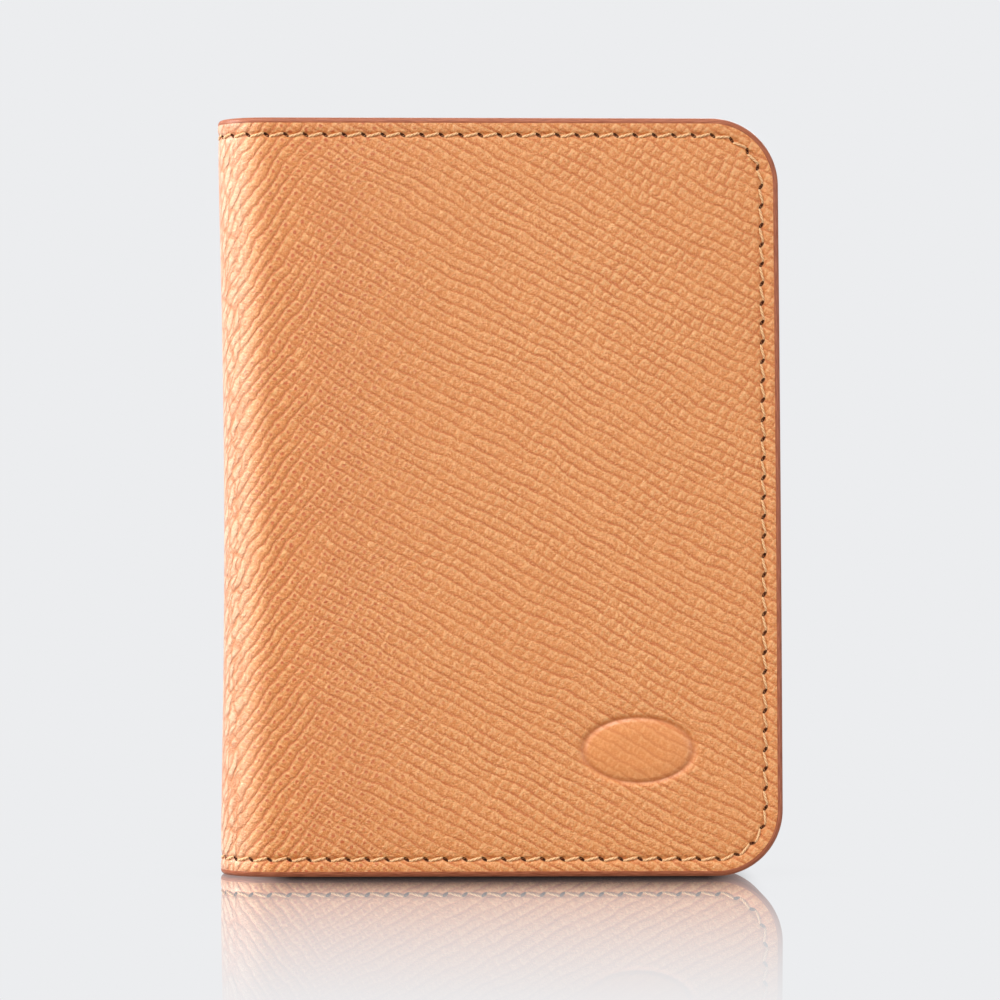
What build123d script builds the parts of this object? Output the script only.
from build123d import *
import math
import os

# A vertical bifold wallet, closed and standing on its lower edge. Millimetres, +Z up.
# X runs across the cover: the folded spine is at -X and the opening edge at +X.
# Y runs through the thickness: the front cover faces -Y and the back cover +Y.
# The origin is the middle of the footprint. The two halves are mirror images about Y = 0.
#
# Each half is a sewn stack. From the outside in: shell leather, stiffener, lining, the note
# compartment, divider, a hidden slip pocket, card panel, and three stepped card pockets.
# Between the halves the shell, its tape, the lining and the divider bend round the spine. That
# bend is cut into two strips with three hinges, so that the halves open flat.

# ---------------------------------------------------------------- driving dimensions
closed_width = 80.0
height = 108.0
thickness = 14.0
corner_radius = 9.5  # of the two corners at the opening edge
paint_width = 0.5  # edge paint round every cut edge
spine_dip = 0.5  # how much lower the leather runs round the spine, at the top
panel_top = 102.0  # top of the divider and the card panel, below the shell's edge
panel_gap = 1.0  # from the start of the bend to the card panel

pocket_mouths = {"pocket_1": 75.0, "pocket_2": 84.0, "pocket_3": 93.0}
pocket_bottoms = {"pocket_1": 0.0, "pocket_2": 11.0, "pocket_3": 19.0}

# One half's stack from the outside in. A name of None is an open gap.
stack = [
    ("leather", 1.0),
    ("stiffener", 0.4),
    ("lining", 0.4),
    (None, 0.8),
    ("divider", 0.4),
    (None, 0.3),
    ("card_panel", 0.6),
    (None, 0.3),
    ("pocket_3", 0.6),
    (None, 0.3),
    ("pocket_2", 0.6),
    (None, 0.3),
    ("pocket_1", 0.6),
]

stitch_inset = 2.5  # from the outer contour to the seam
stitch_pitch = 2.76
stitch_length = 2.2
stitch_width = 0.4
stitch_height = 0.25
groove_width = 0.8  # the seam lies in this groove on the outer face
groove_depth = 0.3

emblem_centre = (19.4, 18.0)  # X and Z on the front cover
emblem_size = (17.0, 10.0)
emblem_border = 1.2
emblem_depth = 0.2

strip_names = ("spine_back", "spine_front")
strip_step = math.pi / (len(strip_names) + 1)  # the angle that one hinge opens
hinge_gap_angle = math.radians(2.2)  # clearance on each side of a hinge

# ---------------------------------------------------------------- derived dimensions
fold_radius = thickness / 2
fold_x = fold_radius - closed_width / 2  # axis of the bend, and where the flat covers start
panel_left = fold_x + panel_gap
seam_x = closed_width / 2 - stitch_inset
seam_radius = corner_radius - stitch_inset
lip_end = strip_step / 2 - hinge_gap_angle  # each cover carries the first part of the bend
whole_turn = 2 * math.pi

level = {}  # layer name to its (inner, outer) distance from the middle plane
face = thickness / 2
for layer, layer_thickness in stack:
    if layer:
        level[layer] = (face - layer_thickness, face)
    face -= layer_thickness

shell_inner = level["lining"][0]
shell_outer = level["leather"][1]


# ---------------------------------------------------------------- shapes
def cover_outline(inset, top=height, left=fold_x):
    """A half's outline in X and Z: square at the spine, rounded at the opening edge."""
    size = (closed_width / 2 - inset - left, height - 2 * inset)
    whole = Pos(left, inset) * Rectangle(*size, align=(Align.MIN, Align.MIN))
    corners = whole.vertices().group_by(Axis.X)[-1]
    rounded = fillet(corners, corner_radius - inset)
    if top >= height - inset:
        return rounded
    below = Pos(left, 0) * Rectangle(closed_width, top, align=(Align.MIN, Align.MIN))
    return rounded & below


def rim_outline(top=height, left=fold_x):
    """The edge paint round an outline: it is open at the spine, and above a lower top."""
    return cover_outline(0, top, left) - cover_outline(paint_width, top, left)


def slab(outline, inner, outer):
    """An outline given thickness on the back half, between two distances from Y = 0."""
    return extrude(Plane.XZ.offset(-outer) * outline, outer - inner)


def fold_point(radius, angle):
    """A point of the bend, seen from above. The angle runs from +Y round to -Y."""
    return (fold_x - radius * math.sin(angle), radius * math.cos(angle))


def sector(inner, outer, start, end, low, high):
    """A piece of the bend, between two radii, two angles and two heights."""
    middle = (start + end) / 2
    outline = make_face(
        [
            ThreePointArc(*(fold_point(outer, a) for a in (start, middle, end))),
            Line(fold_point(outer, end), fold_point(inner, end)),
            ThreePointArc(*(fold_point(inner, a) for a in (end, middle, start))),
            Line(fold_point(inner, start), fold_point(outer, start)),
        ]
    )
    return extrude(Pos(0, 0, low) * outline, high - low, dir=(0, 0, 1))


def strip_angles(number):
    """Where one spine strip starts and ends round the bend."""
    middle = (number + 1) * strip_step
    return (middle - lip_end, middle + lip_end)


# ---------------------------------------------------------------- seams
def seam_place(distance):
    """X, Z and direction of the perimeter seam, from the spine's foot round to its top."""
    run = closed_width / 2 - corner_radius - fold_x
    rise = height - 2 * corner_radius
    turn = seam_radius * math.pi / 2
    centre_x = closed_width / 2 - corner_radius
    if distance < run:
        return fold_x + distance, stitch_inset, 0.0
    distance -= run
    if distance < turn:
        angle = distance / seam_radius
        x = centre_x + seam_radius * math.sin(angle)
        return x, corner_radius - seam_radius * math.cos(angle), angle
    distance -= turn
    if distance < rise:
        return seam_x, corner_radius + distance, math.pi / 2
    distance -= rise
    if distance < turn:
        angle = math.pi / 2 + distance / seam_radius
        x = centre_x + seam_radius * math.sin(angle)
        return x, height - corner_radius - seam_radius * math.cos(angle), angle
    return centre_x - (distance - turn), height - stitch_inset, math.pi


def seam_length():
    run = closed_width / 2 - corner_radius - fold_x
    return 2 * run + height - 2 * corner_radius + seam_radius * math.pi


def stitch(x, z, direction, inner, outer):
    """One visible stitch of the back half, lying between two distances from Y = 0."""
    box = Box(stitch_length, outer - inner, stitch_width)
    return Pos(x, (inner + outer) / 2, z) * Rot(0, -math.degrees(direction), 0) * box


def perimeter_places():
    count = round(seam_length() / stitch_pitch)
    pitch = seam_length() / count
    return [seam_place((i + 0.5) * pitch) for i in range(count)]


def row_places(start, end):
    """X, Z and direction of the stitches of a straight row."""
    long = math.dist(start, end)
    direction = math.atan2(end[1] - start[1], end[0] - start[0])
    count = round(long / stitch_pitch)
    shares = [(i + 0.5) / count for i in range(count)]
    return [
        (
            start[0] + share * (end[0] - start[0]),
            start[1] + share * (end[1] - start[1]),
            direction,
        )
        for share in shares
    ]


def inner_face(z):
    """Distance from the middle plane of the surface that shows inside at a height."""
    for name, mouth in pocket_mouths.items():
        if z < mouth:
            return level[name][0]
    return level["card_panel"][0] if z < panel_top else shell_inner


def inner_stitches(places):
    """Stitches lying on whatever surface shows inside the wallet there."""
    return Compound(
        [
            stitch(x, z, turn, inner_face(z) - stitch_height, inner_face(z))
            for x, z, turn in places
        ]
    )


# ---------------------------------------------------------------- one half
def bent_layer(name, top):
    """A layer of the shell or the divider, with the lip that starts the bend."""
    inner, outer = level[name]
    flat = slab(cover_outline(paint_width, top - paint_width), inner, outer)
    return flat + sector(inner, outer, 0, lip_end, paint_width, top - paint_width)


def shell_leather():
    """The outer leather, with the groove that its seam lies in."""
    deep = shell_outer - groove_depth
    wide = groove_width / 2
    ring = cover_outline(stitch_inset - wide) - cover_outline(stitch_inset + wide)
    leather = bent_layer("leather", height) - slab(ring, deep, shell_outer)
    for z in (stitch_inset, height - stitch_inset):
        leather -= sector(deep, shell_outer, 0, lip_end, z - wide, z + wide)
    return leather


def shell_edge_paint():
    """Paint on the shell's cut edge: along the top, the opening edge and the bottom."""
    rim = slab(rim_outline(), shell_inner, shell_outer)
    for low in (0, height - paint_width):
        high = low + paint_width
        rim += sector(shell_inner, shell_outer, 0, lip_end, low, high)
    return rim


def card_edge_paint():
    """Paint on the sewn edges of the divider, the card panel and the pockets."""
    divider_rim = slab(rim_outline(panel_top), level["card_panel"][0], shell_inner)
    rims = [divider_rim]
    inner_edge = Pos(panel_left, 0) * Rectangle(
        paint_width, panel_top, align=(Align.MIN, Align.MIN)
    )
    rims.append(slab(inner_edge, *level["card_panel"]))
    behind = level["card_panel"][0]
    for name in ("pocket_3", "pocket_2", "pocket_1"):
        front, mouth = level[name][0], pocket_mouths[name]
        side = Pos(panel_left, 0) * Rectangle(
            paint_width, mouth, align=(Align.MIN, Align.MIN)
        )
        rims.append(slab(rim_outline(mouth, panel_left), front, behind))
        rims.append(slab(side, front, behind))
        behind = front
    painted = rims[0]
    for rim in rims[1:]:
        painted += rim
    return painted


def card_layer(name, bottom, top):
    """A flat leather piece between the painted inner and outer edges of the card side."""
    left = panel_left + paint_width
    outline = cover_outline(paint_width, top, left)
    if bottom > 0:
        below = Pos(left, 0) * Rectangle(closed_width, bottom, align=(Align.MIN, Align.MIN))
        outline -= below
    return slab(outline, *level[name])


def half():
    """Every piece of the back half, by name."""
    pieces = {
        "leather": shell_leather(),
        "stiffener": bent_layer("stiffener", height),
        "lining": bent_layer("lining", height),
        "divider": bent_layer("divider", panel_top),
        "card_panel": card_layer("card_panel", 0, panel_top),
        "shell_edge_paint": shell_edge_paint(),
        "card_edge_paint": card_edge_paint(),
    }
    for name, mouth in pocket_mouths.items():
        pieces[name] = card_layer(name, pocket_bottoms[name], mouth)

    groove_floor = shell_outer - groove_depth
    pieces["outer_stitches"] = Compound(
        [
            stitch(x, z, turn, groove_floor, groove_floor + stitch_height)
            for x, z, turn in perimeter_places()
        ]
        + lip_stitches()
    )
    pieces["inner_stitches"] = inner_stitches(perimeter_places())

    row_x = panel_left + stitch_inset
    row_z = panel_top - stitch_inset
    side = row_places((row_x, 2 * stitch_inset), (row_x, row_z))
    top = row_places((row_x + stitch_inset, row_z), (seam_x - stitch_inset, row_z))
    pieces["card_panel_stitches"] = inner_stitches(side + top)

    hidden = []
    for name in ("pocket_2", "pocket_3"):
        z = pocket_bottoms[name] + stitch_inset / 2
        start, end = (row_x + stitch_inset, z), (seam_x - stitch_inset, z)
        front = level[name][0]
        hidden += [
            stitch(x, z, turn, front - stitch_height, front)
            for x, z, turn in row_places(start, end)
        ]
    pieces["pocket_bottom_stitches"] = Compound(hidden)
    return pieces


# ---------------------------------------------------------------- the spine
def bend_stitch(middle, low):
    """A stitch that follows the bend, in the groove."""
    floor = shell_outer - groove_depth
    reach = stitch_length / 2 / fold_radius
    span = (middle - reach, middle + reach)
    return sector(floor, floor + stitch_height, *span, low, low + stitch_width)


def bend_stitches(middles, dip):
    rows = (stitch_inset, height - stitch_inset - dip)
    return [bend_stitch(a, z - stitch_width / 2) for a in middles for z in rows]


def lip_stitches():
    return bend_stitches([lip_end / 2], 0)


def spine_strip(number):
    """Every piece of one spine strip, by name."""
    start, end = strip_angles(number)
    low, high = paint_width, height - spine_dip - paint_width
    tape = level["stiffener"]
    lining = level["lining"]
    divider = level["divider"]

    leather = sector(*level["leather"], start, end, low, high)
    floor = shell_outer - groove_depth
    for z in (stitch_inset, height - stitch_inset - spine_dip):
        bottom, top = z - groove_width / 2, z + groove_width / 2
        leather -= sector(floor, shell_outer, start, end, bottom, top)

    foot = sector(divider[0], shell_outer, start, end, 0, paint_width)
    head = sector(shell_inner, shell_outer, start, end, high, high + paint_width)
    quarter = (end - start) / 4
    return {
        "leather": leather,
        "tape": sector(*tape, start, end, low, high),
        "lining": sector(*lining, start, end, low, high),
        "divider": sector(*divider, start, end, low, panel_top - paint_width),
        "edge_paint": Compound([foot, head]),
        "stitches": Compound(
            bend_stitches([start + quarter, end - quarter], spine_dip)
        ),
    }


# ---------------------------------------------------------------- the front cover's emblem
def emblem():
    """A plain oval border pressed into the front cover, as the solid that is cut away."""
    wide, tall = emblem_size
    inner = Ellipse(wide / 2 - emblem_border, tall / 2 - emblem_border)
    ring = Pos(*emblem_centre) * (Ellipse(wide / 2, tall / 2) - inner)
    return mirror(slab(ring, shell_outer - emblem_depth, shell_outer), about=Plane.XZ)


# ---------------------------------------------------------------- writing the parts
def write(name, shape):
    export_step(Compound(list(shape.solids())), f"parts/{name}.step")


def main():
    os.makedirs("parts", exist_ok=True)
    for name, piece in half().items():
        front = mirror(piece, about=Plane.XZ)
        if name == "leather":
            front -= emblem()
        write(f"back_{name}", piece)
        write(f"front_{name}", front)
    for number, strip in enumerate(strip_names):
        for name, piece in spine_strip(number).items():
            write(f"{strip}_{name}", piece)

    # The neutral line of the bend keeps its length when each hinge is this far out.
    neutral = sum(level["leather"]) / 2
    hinge_radius = neutral * (strip_step / 2) / math.sin(strip_step / 2)
    for number in range(len(strip_names) + 1):
        x, y = fold_point(hinge_radius, (number + 0.5) * strip_step)
        print(f"hinge {number + 1}: x {x:.4f} y {y:.4f}")


main()
